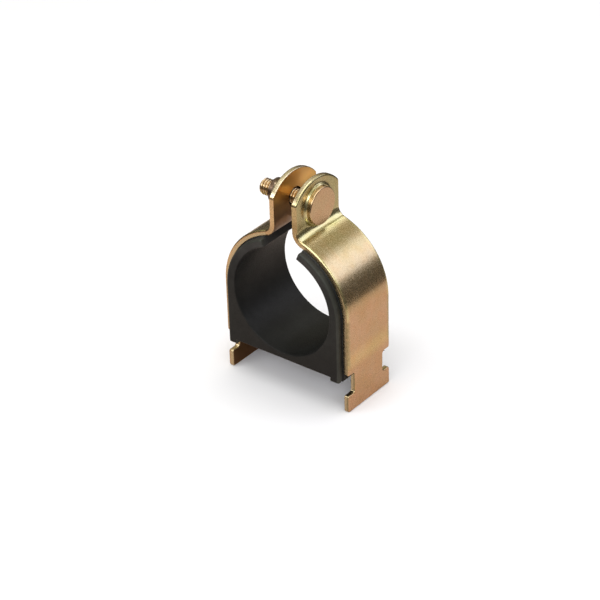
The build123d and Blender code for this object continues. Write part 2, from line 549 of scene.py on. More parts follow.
    def burnished(self, depth: float) -> float:
        """Return how far a sheared edge is burnished at a depth, from 0 to 1; the band is partly
        painted light.
        """
        return smoothstep((depth - self.sheared_from) / (self.sheared_full - self.sheared_from))

    def on_face(self, depth: float) -> bool:
        """Tell whether a depth is that of one of the strap's two faces."""
        return min(depth, self.thickness - depth) < MERGE_DISTANCE

    def marks(self, across: float, length: float, depth: float) -> dict[str, float]:
        """Work out how the metal looks at a point of the blank.

        Args:
            across: The point's width.
            length: Its length along the strap.
            depth: Its depth below the outer face.

        Returns:
            Its value, from 0 to 1, for each of the attributes.
        """
        below_bend, on_leg = length < self.arc_end, length <= 0.0
        inward = depth > self.thickness / 2
        rim = 0.0 if self.on_face(depth) else 1.0
        drawn = 0.0 if inward else self.drawn(length)
        # Where the outer face rolls over at an edge it takes the drawn tint, partly a painted
        # highlight, and on the leg part of the rims' tint, which is painted shade there.
        if below_bend and depth < self.outer_rim / 2:
            roll = self.rolled(across, length)
            drawn = max(drawn, roll * (self.leg_roll if on_leg else self.arc_roll))
            rim = self.leg_roll_rim * roll if on_leg else 0.0
        # On the head half's crown the outer rounding takes the face tint instead of the rims' tint
        # with its painted highlight.
        crown = self.bolt_length + self.ear_shoulder - MERGE_DISTANCE
        if self.side is Side.HEAD and length > crown and depth < self.outer_rim:
            rim = 0.0
        return {
            RIM_ATTRIBUTE: rim,
            INNER_ATTRIBUTE: 1.0 if inward and self.on_face(depth) else 0.0,
            DRAWN_AND_HIGHLIGHT_ATTRIBUTE: drawn,
            SHEARED_BAND_LIGHT_ATTRIBUTE: self.burnished(depth) * rim if below_bend else 0.0,
        }

    def bend_blank(self, mesh_data: bmesh.types.BMesh) -> None:
        """Mark the flat blank's vertices, bend it and press its ring."""
        names = (RIM_ATTRIBUTE, INNER_ATTRIBUTE, DRAWN_AND_HIGHLIGHT_ATTRIBUTE, SHEARED_BAND_LIGHT_ATTRIBUTE)
        layers = {name: mesh_data.verts.layers.float.new(name) for name in names}
        drawn = layers[DRAWN_AND_HIGHLIGHT_ATTRIBUTE]
        for vert in mesh_data.verts:
            across, length, depth = vert.co
            for name, value in self.marks(across, length, depth).items():
                vert[layers[name]] = value
            x, z = self.bent(length, depth)
            near = hypot(across, length - self.bolt_length) < self.disc_radius
            if self.side is Side.HEAD and near and self.on_face(depth):
                flat_x = x
                x = self.pressed(x, hypot(across, z - self.line.height), depth)
                # The pressed ring takes the drawn tint, partly a painted highlight.
                vert[drawn] = max(vert[drawn], smoothstep((x - flat_x) / self.ring_height))
            vert.co = (self.side.value * x, across, z)

    def build(self, name: str) -> bpy.types.Object:
        """Build the half, with how its metal looks in four attributes."""
        mesh_data = bmesh.new()
        for depth, middle in ((0.0, self.ring_middle), (self.thickness, self.recess_middle)):
            widths = self.add_ear(mesh_data, depth, middle)
            self.add_strip(mesh_data, depth, widths)
        merge_doubles(mesh_data)
        self.join_faces(mesh_data)
        self.round_rims(mesh_data)
        self.bend_blank(mesh_data)
        return finished_piece(name, mesh_data, self.smooth_angle)


@dataclass
class ThreadedBolt:
    """The round-headed bolt, with its square neck and its rolled thread.

    Attributes:
        line: The bolt's line.
        tip: X of its tip.
        head_face: X of the head's outer face.
        head_radius: The head's radius.
        crest_share: Where the flank leaves the crest, in half pitches.
        root_share: Where it meets the root, in half pitches.
        run_out: Turns over which the thread runs out below the neck.
    """

    line: BoltLine
    tip: float
    head_face: float
    head_radius: float
    head_thickness: float = 1.9 * MM
    head_rounding: float = 0.5 * MM
    shank_radius: float = 3.97 * MM
    neck_half_side: float = 4.05 * MM
    neck_length: float = 3.3 * MM
    tip_chamfer: float = 0.9 * MM
    pitch: float = 25.4 / 18 * MM
    thread_depth: float = 0.85 * MM
    crest_share: float = 0.06
    root_share: float = 0.95
    run_out: float = 1.3
    count: int = 96
    thread_steps: int = 12
    rounding_steps: int = 5
    smooth_angle: float = 38.0

    def __post_init__(self) -> None:
        """Work out where the head and the neck start."""
        self.head_seat = self.head_face - self.head_thickness
        self.neck_start = self.head_seat - self.neck_length

    def crest(self, x: float, share: float) -> float:
        """Return the thread's height from 0 in the root to 1 on the rounded crest.

        Args:
            x: Place along the bolt.
            share: Share of a turn.

        Returns:
            The height.
        """
        phase = ((x - self.tip) / self.pitch - share) % 1.0
        off_crest = abs(2.0 * phase - 1.0)
        return smoothstep((self.root_share - off_crest) / (self.root_share - self.crest_share))

    def thread_radius(self, x: float, share: float) -> float:
        """Return the bolt's radius on the thread, with its run-out and its chamfered tip."""
        fade = min(1.0, (self.neck_start - x) / (self.run_out * self.pitch))
        radius = self.shank_radius - self.thread_depth * fade * (1.0 - self.crest(x, share))
        return min(radius, self.shank_radius - self.tip_chamfer + x - self.tip)

    def add_thread(self, mesh_data: bmesh.types.BMesh) -> None:
        """Add the thread in rows that follow its helix, and close the bolt's tip."""
        turns = (self.neck_start - self.tip) / self.pitch
        rows = []
        for step in range(ceil((turns + 1) * self.thread_steps) + 1):
            row = []
            for share in spread(0.0, 1.0, self.count):
                x = self.tip + (step / self.thread_steps + share - 1.0) * self.pitch
                x = min(max(x, self.tip), self.neck_start)
                row.append(self.line.point(x, self.thread_radius(x, share), 2 * pi * share))
            rows.append(row)
        first = add_strips(mesh_data, rows)[0]
        mesh_data.faces.new(first[:-1])

    def add_head(self, mesh_data: bmesh.types.BMesh) -> None:
        """Add the square neck and the head."""
        side = self.head_radius
        round_start = self.head_face - self.head_rounding
        arc = [
            (
                round_start + self.head_rounding * sin(turn),
                side - self.head_rounding * (1.0 - cos(turn)),
            )
            for turn in spread(0.0, pi / 2, self.rounding_steps)
        ]
        circles = [(self.head_seat, side), *arc]
        profile = [
            (self.neck_start, circle_radius(self.shank_radius)),
            (self.neck_start, square_radius(self.neck_half_side)),
            (self.head_seat, square_radius(self.neck_half_side)),
        ]
        profile += [(x, circle_radius(radius)) for x, radius in circles]
        loops = [self.line.loop(x, radius, self.count) for x, radius in profile]
        face = add_loops(mesh_data, loops)[-1]
        mesh_data.faces.new(face)

    def build(self, name: str) -> bpy.types.Object:
        """Build the bolt, with its crests and roots marked in attributes."""
        mesh_data = bmesh.new()
        self.add_thread(mesh_data)
        self.add_head(mesh_data)
        merge_doubles(mesh_data)
        rim = mesh_data.verts.layers.float.new(RIM_ATTRIBUTE)
        root = mesh_data.verts.layers.float.new(INNER_ATTRIBUTE)
        for vert in mesh_data.verts:
            share = atan2(vert.co.z - self.line.height, vert.co.y) / (2 * pi)
            # Crests take the paler crest tint, partly a painted highlight, and roots the dark root
            # tint, painted shade.
            if vert.co.x < self.neck_start:
                vert[rim] = self.crest(vert.co.x, share)
                vert[root] = 1.0 - vert[rim]
        return finished_piece(name, mesh_data, self.smooth_angle)


@dataclass
class HexLocknut:
    """The hexagon nut with a round collar, crimped over its locking ring.

    Attributes:
        line: The bolt's line.
        face: X of the face against the ear.
        end: X of the collar's end.
        apothem: Half the width across its flats.
        corner_chamfer: How far the chamfer comes in from the corners.
        chamfer_slope: How far it comes in for its height.
    """

    line: BoltLine
    face: float
    end: float
    apothem: float
    collar_height: float = 2.4 * MM
    collar_step: float = 0.4 * MM
    corner_chamfer: float = 0.7 * MM
    chamfer_slope: float = 2.0
    corner_rounding: float = 0.14 * MM
    bore_radius: float = 4.05 * MM
    bore_chamfer: float = 0.6 * MM
    collar_wall: float = 0.75 * MM
    crimp_reach: float = 0.5 * MM
    crimp_thickness: float = 0.4 * MM
    foot_rounding: float = 0.3 * MM
    count: int = 120
    chamfer_steps: int = 5
    rounding_steps: int = 4
    smooth_angle: float = 32.0

    def hex_radius(self, inset: float) -> RadiusAt:
        """Return the nut's radius at each angle, at an inset from one of its faces."""
        corner = self.apothem / cos(HEX_HALF_TURN)
        limit = corner - self.corner_chamfer + self.chamfer_slope * inset

        def radius(angle: float) -> float:
            """Return the radius at one angle."""
            flat = self.apothem / cos(angle % (2 * HEX_HALF_TURN) - HEX_HALF_TURN)
            return min(flat, corner - self.corner_rounding, limit)

        return radius

    def outer_profile(self) -> list[tuple[float, RadiusAt]]:
        """Return the outside's places and radii, from the ear's side to the collar's end."""
        hex_end = self.end + self.collar_height
        insets = spread(0.0, self.corner_chamfer / self.chamfer_slope, self.chamfer_steps)
        profile = [(self.face - inset, self.hex_radius(inset)) for inset in insets]
        profile += [(hex_end + inset, self.hex_radius(inset)) for inset in reversed(insets)]
        collar = self.apothem - self.collar_step
        foot, lip = self.foot_rounding, self.crimp_thickness
        for turn in spread(0.0, pi / 2, self.rounding_steps):
            radius = collar + foot * (1.0 - sin(turn))
            profile.append((hex_end - foot * (1.0 - cos(turn)), circle_radius(radius)))
        for turn in spread(0.0, pi / 2, self.rounding_steps):
            radius = collar - lip * (1.0 - cos(turn))
            profile.append((self.end + lip * (1.0 - sin(turn)), circle_radius(radius)))
        return profile

    def inner_profile(self) -> list[tuple[float, RadiusAt]]:
        """Return the places and radii of the inside, from the crimp to the ear's side."""
        hex_end = self.end + self.collar_height
        seat = self.apothem - self.collar_step - self.collar_wall
        crimp = self.end + self.crimp_thickness
        points = [
            (self.end, seat - self.crimp_reach),
            (crimp, seat - self.crimp_reach),
            (crimp, seat),
            (hex_end, seat),
            (hex_end, self.bore_radius),
            (self.face - self.bore_chamfer, self.bore_radius),
            (self.face, self.bore_radius + self.bore_chamfer),
        ]
        return [(x, circle_radius(radius)) for x, radius in points]

    def build(self, name: str) -> bpy.types.Object:
        """Build the nut, with its corners marked in the rim attribute."""
        mesh_data = bmesh.new()
        profile = self.outer_profile() + self.inner_profile()
        loops = [self.line.loop(x, radius, self.count) for x, radius in profile]
        add_loops(mesh_data, loops, ring=True)
        merge_doubles(mesh_data)
        rim = mesh_data.verts.layers.float.new(RIM_ATTRIBUTE)
        worn = self.apothem / cos(HEX_HALF_TURN) - self.corner_chamfer
        for vert in mesh_data.verts:
            radius = hypot(vert.co.y, vert.co.z - self.line.height)
            vert[rim] = 1.0 if radius > worn else 0.0
        return finished_piece(name, mesh_data, self.smooth_angle)


@dataclass
class RubberCushion:
    """The moulded cushion: a pad under the strap, a lower flange on each side and two feet.

    Attributes:
        pad_radius: Radius of the pad's outer face.
        half_width: Half the cushion's width.
        end_height: Height of the pad's ends beside the open top.
        foot_bottom: Height of the feet's lower faces.
        strap_half_width: Half the strap's width.
        flange_inset: From the pad's face down to the flange's.
        pad_margin: Pad beyond each edge of the strap.
        pad_swell: How far the pad swells towards the strap.
        highlit_rims: Width of the rims that get a painted highlight, in radii of the outer ones.
    """

    pad_radius: float
    half_width: float
    end_height: float
    foot_bottom: float
    strap_half_width: float
    bore_radius: float = 27.0 * MM
    arc_drop: float = 1.0 * MM
    flange_inset: float = 0.3 * MM
    pad_margin: float = 0.15 * MM
    pad_swell: float = 0.18 * MM
    foot_height: float = 1.9 * MM
    foot_width: float = 5.3 * MM
    outer_rim: float = 1.1 * MM
    inner_rim: float = 0.6 * MM
    arc_step: float = 2.0
    rim_segments: int = 5
    rim_turn: float = 36.0
    highlit_rims: float = 1.5
    smooth_angle: float = 35.0

    def outline(self, radius: float, y: float) -> list[Vector]:
        """Return the cushion's outline at one place along the bore.

        Args:
            radius: Radius of its outer face there.
            y: Place along the bore.

        Returns:
            The outline's points, from the right end of the bore's wall.
        """
        end = asin((self.end_height + self.arc_drop) / self.pad_radius)
        foot_inner = self.pad_radius - self.foot_width
        web = self.foot_bottom + self.foot_height
        outer_steps = ceil(degrees(end) / self.arc_step)
        arc = [
            (radius * cos(a), radius * sin(a) - self.arc_drop)
            for a in spread(end, 0.0, outer_steps)
        ]
        foot = [(radius, self.foot_bottom), (foot_inner, self.foot_bottom), (foot_inner, web)]
        half = arc + foot
        left = [(-x, z) for x, z in reversed(half)]
        bore_steps = ceil((180.0 + 2.0 * degrees(end)) / self.arc_step)
        bore = [
            (self.bore_radius * cos(a), self.bore_radius * sin(a))
            for a in spread(pi - end, 2 * pi + end, bore_steps)
        ]
        return [Vector((x, y, z)) for x, z in half + left + bore]

    def on_outer_rim(self, vert: bmesh.types.BMVert) -> bool:
        """Tell the vertices of the outer rim at the cushion's two ends."""
        at_end = abs(abs(vert.co.y) - self.half_width) < MERGE_DISTANCE
        reach = abs(vert.co.x)
        if vert.co.z > -self.arc_drop:
            reach = hypot(vert.co.x, vert.co.z + self.arc_drop)
        return at_end and abs(reach - self.pad_radius + self.flange_inset) < MERGE_DISTANCE

    def round_rims(self, mesh_data: bmesh.types.BMesh) -> None:
        """Round the rims of the cushion's two ends, the outer ones the most."""
        for outer, radius in ((True, self.outer_rim), (False, self.inner_rim)):
            bmesh.ops.recalc_face_normals(mesh_data, faces=mesh_data.faces)
            rims = [
                edge
                for edge in mesh_data.edges
                if edge.calc_face_angle_signed(0.0) > radians(self.rim_turn)
                and all(self.on_outer_rim(vert) for vert in edge.verts) is outer
            ]
            round_edges(mesh_data, rims, radius, self.rim_segments)

    def build(self, name: str) -> bpy.types.Object:
        """Build the cushion, with the rims of its two ends marked in the rim attribute for a
        painted highlight.
        """
        mesh_data = bmesh.new()
        flange, pad = self.pad_radius - self.flange_inset, self.pad_radius + self.pad_swell
        step = self.strap_half_width + self.pad_margin
        places = [
            (flange, -self.half_width),
            (flange, -step),
            (pad, -step),
            (pad, step),
            (flange, step),
            (flange, self.half_width),
        ]
        rows = add_loops(mesh_data, [self.outline(radius, y) for radius, y in places])
        mesh_data.faces.new(rows[0])
        mesh_data.faces.new(rows[-1])
        merge_doubles(mesh_data)
        self.round_rims(mesh_data)
        rim = mesh_data.verts.layers.float.new(RIM_ATTRIBUTE)
        # The outer rims of the two ends get the rims' lighter tint, a painted highlight.
        middle, reach = (self.bore_radius + self.pad_radius) / 2, self.highlit_rims * self.outer_rim
        for vert in mesh_data.verts:
            inset = self.half_width - abs(vert.co.y)
            outward = hypot(vert.co.x, vert.co.z) > middle
            vert[rim] = 1.0 if outward and MERGE_DISTANCE < inset < reach else 0.0
        return finished_piece(name, mesh_data, self.smooth_angle)


class NodeSheet:
    """A node tree that is being filled.

    Attributes:
        MIX_INPUTS: Places of a colour mix's share and its two colours.
        MIX_OUTPUT: Place of the mixed colour.
    """

    MIX_INPUTS: tuple[int, int, int] = (0, 6, 7)
    MIX_OUTPUT: int = 2

    def __init__(self, tree: bpy.types.NodeTree) -> None:
        """Start on an empty tree."""
        self.tree = tree
        tree.nodes.clear()

    def add(
        self, kind: str, inputs: dict[str | int, object] | None = None, **settings: object
    ) -> bpy.types.Node:
        """Add a node.

        Args:
            kind: Its type.
            inputs: Values or sockets for its inputs, by name or place.
            settings: Its own settings.

        Returns:
            The new node.
        """
        node = self.tree.nodes.new(kind)
        for name, value in settings.items():
            setattr(node, name, value)
        for key, value in (inputs or {}).items():
            self.fill(node.inputs[key], value)
        return node

    def noise(
        self, vector: bpy.types.NodeSocket, scale: object, detail: float
    ) -> bpy.types.NodeSocket:
        """Return the value of a noise texture."""
        node = self.add("ShaderNodeTexNoise", {"Vector": vector, "Scale": scale, "Detail": detail})
        return node.outputs["Fac"]

    def ranged(
        self, value: bpy.types.NodeSocket, source: Span, target: Span = (0.0, 1.0)
    ) -> bpy.types.NodeSocket:
        """Return a value carried from one range to another, smooth and clamped."""
        node = self.add(
            "ShaderNodeMapRange",
            {0: value, 1: source[0], 2: source[1], 3: target[0], 4: target[1]},
            interpolation_type="SMOOTHSTEP",
        )
        return node.outputs[0]

    def mixed(
        self, share: object, first: object, second: object, blend: str = "MIX"
    ) -> bpy.types.NodeSocket:
        """Return a mix of two colours."""
        node = self.add("ShaderNodeMix", data_type="RGBA", blend_type=blend)
        for place, value in zip(self.MIX_INPUTS, (share, first, second)):
            self.fill(node.inputs[place], value)
        return node.outputs[self.MIX_OUTPUT]

    def attribute(self, name: str) -> bpy.types.NodeSocket:
        """Return the value of one of the piece's attributes."""
        return self.add("ShaderNodeAttribute", attribute_name=name).outputs["Fac"]

    def fill(self, socket: bpy.types.NodeSocket, value: object) -> None:
        """Link a socket to another one, or give it a constant."""
        if isinstance(value, bpy.types.NodeSocket):
            self.tree.links.new(value, socket)
        else:
            socket.default_value = value

    def maths(self, operation: str, *values: object) -> bpy.types.NodeSocket:
        """Return the result of a sum, product or other operation."""
        return self.add("ShaderNodeMath", dict(enumerate(values)), operation=operation).outputs[0]


def rgba(colour: Colour) -> tuple[float, float, float, float]:
    """Return a colour with full opacity."""
    return (*colour, 1.0)


class EffectLibrary:
    """The effects that more than one finish uses, each built once as a node group.

    Attributes:
        BROAD_PATCHES: Values of the noise between which a broad patch sets in.
        FINE_PATCHES: Those between which a fine patch sets in.
        FINER: Fine patches in the width of a broad one.
        GRAINS: Values of the noise between which a grain sets in.
        FINER_GRAINS: Fine grains in the width of a coarse one.
        FINER_SHARE: Height of the fine grains against the coarse ones.
        BREAKS: Values of the noise between which a rim is rubbed.
        KEPT: Least and greatest share of the rims' mask that is left.
    """

    BROAD_PATCHES: Span = (0.36, 0.66)
    FINE_PATCHES: Span = (0.35, 0.7)
    FINER: float = 2.7
    GRAINS: Span = (0.3, 0.7)
    FINER_GRAINS: float = 3.1
    FINER_SHARE: float = 0.4
    BREAKS: Span = (0.25, 0.6)
    KEPT: Span = (0.55, 1.0)

    def __init__(self) -> None:
        """Build the groups."""
        self.bloom = self.build_bloom()
        self.grain = self.build_grain()
        self.wear = self.build_wear()

    def new_group(
        self, name: str, inputs: dict[str, str], outputs: dict[str, str]
    ) -> tuple[bpy.types.NodeTree, NodeSheet, bpy.types.Node]:
        """Start a group with named sockets.

        Args:
            name: The group's name.
            inputs: Socket types by name.
            outputs: Socket types by name.

        Returns:
            The group's tree, its sheet and its input node.
        """
        tree = bpy.data.node_groups.new(name, "ShaderNodeTree")
        for socket, kind in inputs.items():
            tree.interface.new_socket(name=socket, in_out="INPUT", socket_type=kind)
        for socket, kind in outputs.items():
            tree.interface.new_socket(name=socket, in_out="OUTPUT", socket_type=kind)
        sheet = NodeSheet(tree)
        return tree, sheet, sheet.add("NodeGroupInput")

    def build_bloom(self) -> bpy.types.NodeTree:
        """Build the drifting tints of a coating, in broad patches with finer ones in them."""
        tree, sheet, given = self.new_group(
            "coating_bloom",
            {
                "Position": "NodeSocketVector",
                "Base Tint": "NodeSocketColor",
                "Broad Drift": "NodeSocketColor",
                "Fine Drift": "NodeSocketColor",
                "Patch Scale": "NodeSocketFloat",
            },
            {"Color": "NodeSocketColor"},
        )
        position, scale = given.outputs["Position"], given.outputs["Patch Scale"]
        broad = sheet.noise(position, scale, detail=3.0)
        fine = sheet.noise(position, sheet.maths("MULTIPLY", scale, self.FINER), detail=4.0)
        tinted = given.outputs["Base Tint"]
        for noise, edges, drift in (
            (broad, self.BROAD_PATCHES, "Broad Drift"),
            (fine, self.FINE_PATCHES, "Fine Drift"),
        ):
            mask = sheet.ranged(noise, edges)
            tinted = sheet.mixed(mask, tinted, given.outputs[drift], "MULTIPLY")
        sheet.add("NodeGroupOutput", {"Color": tinted})
        return tree

    def build_grain(self) -> bpy.types.NodeTree:
        """Build the fine grain of a rolled or cast surface."""
        tree, sheet, given = self.new_group(
            "fine_grain",
            {"Position": "NodeSocketVector", "Grain Scale": "NodeSocketFloat"},
            {"Height": "NodeSocketFloat", "Mask": "NodeSocketFloat"},
        )
        position, scale = given.outputs["Position"], given.outputs["Grain Scale"]
        finer = sheet.maths("MULTIPLY", scale, self.FINER_GRAINS)
        coarse, fine = (sheet.noise(position, size, detail=2.0) for size in (scale, finer))
        height = sheet.maths("ADD", coarse, sheet.maths("MULTIPLY", fine, self.FINER_SHARE))
        mask = sheet.ranged(coarse, self.GRAINS)
        sheet.add("NodeGroupOutput", {"Height": height, "Mask": mask})
        return tree

    def build_wear(self) -> bpy.types.NodeTree:
        """Build the mask of the rims and crests, broken up where they are rubbed, which lays on
        their tint with its painted shade and highlights.
        """
        tree, sheet, given = self.new_group(
            "rim_wear_and_light",
            {"Position": "NodeSocketVector", "Break Scale": "NodeSocketFloat"},
            {"Mask": "NodeSocketFloat"},
        )
        position, scale = given.outputs["Position"], given.outputs["Break Scale"]
        broken = sheet.noise(position, scale, detail=3.0)
        kept = sheet.ranged(broken, self.BREAKS, self.KEPT)
        mask = sheet.maths("MULTIPLY", sheet.attribute(RIM_ATTRIBUTE), kept)
        sheet.add("NodeGroupOutput", {"Mask": mask})
        return tree


@dataclass(frozen=True)
class Finish:
    """What every finish has. A grade gives a tint by height, or one tint with a single stop.

    Attributes:
        name: The material's name.
        faces: The tints of the faces.
        broad_drift: What a broad patch's tint is multiplied by.
        fine_drift: What a fine patch's tint is multiplied by.
        roughness: Least and greatest roughness of the faces.
        patch_scale: Patches of tint in a metre.
        grain_scale: Grains in a metre.
        grain_depth: Depth of the grain, in metres.
    """

    name: str
    faces: Grade
    broad_drift: Colour
    fine_drift: Colour
    roughness: Span
    patch_scale: float
    grain_scale: float
    grain_depth: float


class FinishedSurface:
    """The material of a finish while it is built, with the grain that every finish has."""

    def __init__(self, finish: Finish, effects: EffectLibrary) -> None:
        """Start the material.

        Args:
            finish: The finish that it shows.
            effects: The effects that it uses.
        """
        self.finish = finish
        self.effects = effects
        self.material = bpy.data.materials.new(finish.name)
        self.material.use_nodes = True
        self.sheet = NodeSheet(self.material.node_tree)
        self.position = self.sheet.add("ShaderNodeTexCoord").outputs["Object"]
        self.height = self.sheet.add("ShaderNodeSeparateXYZ", {0: self.position}).outputs["Z"]
        grain = self.effect(effects.grain, {"Grain Scale": finish.grain_scale})
        self.relief = grain["Height"]
        self.roughness = self.sheet.ranged(grain["Mask"], (0.0, 1.0), finish.roughness)

    def effect(
        self, group: bpy.types.NodeTree, inputs: dict[str, object]
    ) -> bpy.types.bpy_prop_collection:
        """Add one of the effects at the surface's position, and return its outputs."""
        inputs = {"Position": self.position, **inputs}
        return self.sheet.add("ShaderNodeGroup", inputs, node_tree=group).outputs

    def tint(self, grade: Grade) -> object:
        """Return the tint of a grade at the surface's height."""
        colour = rgba(grade[0][1])
        for (low, _), (high, tint) in zip(grade, grade[1:]):
            share = self.sheet.ranged(self.height, (low, high))
            colour = self.sheet.mixed(share, colour, rgba(tint))
        return colour

    def marked(self, colour: object, attribute: str, grade: Grade) -> object:
        """Return a colour with a grade's tint where an attribute marks the surface.

        Args:
            colour: The colour elsewhere.
            attribute: The attribute.
            grade: The grade, or nothing where the finish has none.

        Returns:
            The colour's new socket, or the colour as it was.
        """
        if not grade:
            return colour
        return self.sheet.mixed(self.sheet.attribute(attribute), colour, self.tint(grade))

    def bloomed(self, tint: object) -> bpy.types.NodeSocket:
        """Return a tint with the drifts of the finish's patches."""
        drifts = {
            "Base Tint": tint,
            "Broad Drift": rgba(self.finish.broad_drift),
            "Fine Drift": rgba(self.finish.fine_drift),
            "Patch Scale": self.finish.patch_scale,
        }
        return self.effect(self.effects.bloom, drifts)["Color"]

    def close(
        self, relief: bpy.types.NodeSocket, inputs: dict[str, object]
    ) -> bpy.types.Material:
        """Add the relief, the shader and the output.

        Args:
            relief: Height of the surface's relief.
            inputs: The shader's other inputs.

        Returns:
            The finished material.
        """
        bump = self.sheet.add(
            "ShaderNodeBump",
            {"Strength": 1.0, "Distance": self.finish.grain_depth, "Height": relief},
        )
        inputs = {**inputs, "Normal": bump.outputs["Normal"]}
        shader = self.sheet.add("ShaderNodeBsdfPrincipled", inputs)
        self.sheet.add("ShaderNodeOutputMaterial", {"Surface": shader.outputs[0]})
        return self.material


@dataclass(frozen=True)
class PlatedFinish(Finish):
    """A passivated zinc coating on steel.

    Attributes:
        rims: The tints of the sheared rims, or of a thread's crests, with painted shade and
            painted highlights in them.
        rim_roughness: Roughness added on the rims.
        inner_painted_light: Painted shade and a painted reflection on the inner faces, or painted
            shade in a thread's roots.
        drawn: The tints where the metal is drawn over a bend or a pressed ring, partly a painted
            highlight.
        sheared: The tints of the burnished band along a sheared edge, partly painted light over
            the edge's shade.
        inner_roughness: Roughness added on the inner faces, which have no grain.
        breaks: Breaks in the rims' wear for each patch of tint.
    """

    rims: Grade
    rim_roughness: float
    inner_painted_light: Grade = ()
    drawn: Grade = ()
    sheared: Grade = ()
    inner_roughness: float = 0.08
    breaks: float = 6.0

    def build(self, effects: EffectLibrary) -> bpy.types.Material:
        """Build the material."""
        surface = FinishedSurface(self, effects)
        sheet = surface.sheet
        # The inner faces' tint is painted shade and a painted reflection; in a thread's roots it
        # is painted shade.
        tint = surface.marked(surface.tint(self.faces), INNER_ATTRIBUTE, self.inner_painted_light)
        # The drawn tint is partly a painted highlight.
        tint = surface.marked(tint, DRAWN_AND_HIGHLIGHT_ATTRIBUTE, self.drawn)
        break_scale = self.patch_scale * self.breaks
        worn = surface.effect(effects.wear, {"Break Scale": break_scale})["Mask"]
        # The rims' tint, laid on through the worn rim mask, holds painted shade low down and
        # painted highlights and reflections higher up.
        colour = sheet.mixed(worn, surface.bloomed(tint), surface.tint(self.rims))
        # The sheared tint is partly painted light over the shade on the edges' inner half.
        colour = surface.marked(colour, SHEARED_BAND_LIGHT_ATTRIBUTE, self.sheared)
        inner, roughness = sheet.attribute(INNER_ATTRIBUTE), surface.roughness
        for share, added in ((worn, self.rim_roughness), (inner, self.inner_roughness)):
            roughness = sheet.maths("ADD", roughness, sheet.maths("MULTIPLY", share, added))
        relief = sheet.maths("MULTIPLY", surface.relief, sheet.maths("SUBTRACT", 1.0, inner))
        inputs = {"Base Color": colour, "Metallic": 1.0, "Roughness": roughness}
        return surface.close(relief, inputs)


@dataclass(frozen=True)
class MouldedFinish(Finish):
    """A moulded rubber or plastic, or a paint.

    Attributes:
        specular: Its specular level.
        rims: The tints of its moulded rims, a painted highlight.
    """

    specular: float
    rims: Grade = ()

    def build(self, effects: EffectLibrary) -> bpy.types.Material:
        """Build the material."""
        surface = FinishedSurface(self, effects)
        tint = surface.marked(surface.tint(self.faces), RIM_ATTRIBUTE, self.rims)
        inputs = {
            "Base Color": surface.bloomed(tint),
            "Roughness": surface.roughness,
            "Specular IOR Level": self.specular,
        }
        return surface.close(surface.relief, inputs)


HEAD_HALF_PLATING = PlatedFinish(
    name="yellow_passivated_head_half",
    faces=(
        (-28.0 * MM, (0.60, 0.40, 0.25)),
        (-22.0 * MM, (0.68, 0.50, 0.27)),
        (-14.0 * MM, (0.61, 0.41, 0.26)),
        (0.0 * MM, (0.61, 0.41, 0.26)),
        (14.0 * MM, (0.61, 0.50, 0.32)),
        (33.0 * MM, (0.60, 0.50, 0.31)),
        (39.0 * MM, (0.49, 0.45, 0.26)),
    ),
    # Sheared rims: the edges' tint, darkened low down as painted shade and lightened to cream at
    # the crown as a painted highlight.
    rims=(
        (22.0 * MM, (0.30, 0.25, 0.14)),
        (32.0 * MM, (0.46, 0.32, 0.16)),
        (39.0 * MM, (0.42, 0.30, 0.15)),
        (46.0 * MM, (0.58, 0.45, 0.24)),
        (50.0 * MM, (0.58, 0.45, 0.24)),
        (51.5 * MM, (0.50, 0.42, 0.28)),
        (55.5 * MM, (0.54, 0.46, 0.31)),
        (57.5 * MM, (0.84, 0.74, 0.55)),
    ),
    # Inner faces: dark low between the ears as painted shade, gold higher up as a painted
    # reflection.
    inner_painted_light=(
        (38.0 * MM, (0.16, 0.085, 0.035)),
        (44.0 * MM, (0.34, 0.20, 0.08)),
        (51.0 * MM, (0.88, 0.56, 0.20)),
        (55.0 * MM, (0.74, 0.47, 0.17)),
    ),
    # Drawn metal: a paler tint, partly a painted highlight on the bend, the rolled edges and the
    # pressed ring.
    drawn=((0.0, (0.70, 0.66, 0.39)),),
    # Burnished band: partly the burnish, partly painted light over the shade on the edge's inner
    # half.
    sheared=((0.0, (0.56, 0.46, 0.29)),),
    broad_drift=(0.92, 0.95, 0.88),
    fine_drift=(1.0, 0.94, 0.88),
    roughness=(0.20, 0.28),
    rim_roughness=0.02,
    patch_scale=90.0,
    grain_scale=1300.0,
    grain_depth=0.014 * MM,
)
NUT_HALF_PLATING = replace(
    HEAD_HALF_PLATING,
    name="yellow_passivated_nut_half",
    # Sheared rims of this half: lighter on the arc and ear as a painted reflection, and cream at
    # the crown as a painted highlight.
    rims=(
        (-5.0 * MM, (0.45, 0.33, 0.18)),
        (15.0 * MM, (0.66, 0.45, 0.25)),
        (34.0 * MM, (0.56, 0.38, 0.21)),
        (40.0 * MM, (0.76, 0.52, 0.29)),
        (50.0 * MM, (0.76, 0.52, 0.29)),
        (51.5 * MM, (0.80, 0.71, 0.54)),
    ),
)
BOLT_PLATING = PlatedFinish(
    name="yellow_passivated_bolt",
    faces=((0.0, (0.60, 0.43, 0.27)),),
    # Crests: a paler tint, partly a painted highlight. Roots: a dark tint, painted shade.
    rims=((0.0, (0.80, 0.65, 0.44)),),
    inner_painted_light=((0.0, (0.22, 0.14, 0.07)),),
    broad_drift=(0.96, 1.0, 0.97),
    fine_drift=(1.0, 0.95, 0.93),
    roughness=(0.20, 0.28),
    rim_roughness=-0.06,
    patch_scale=120.0,
    grain_scale=1800.0,
    grain_depth=0.01 * MM,
)
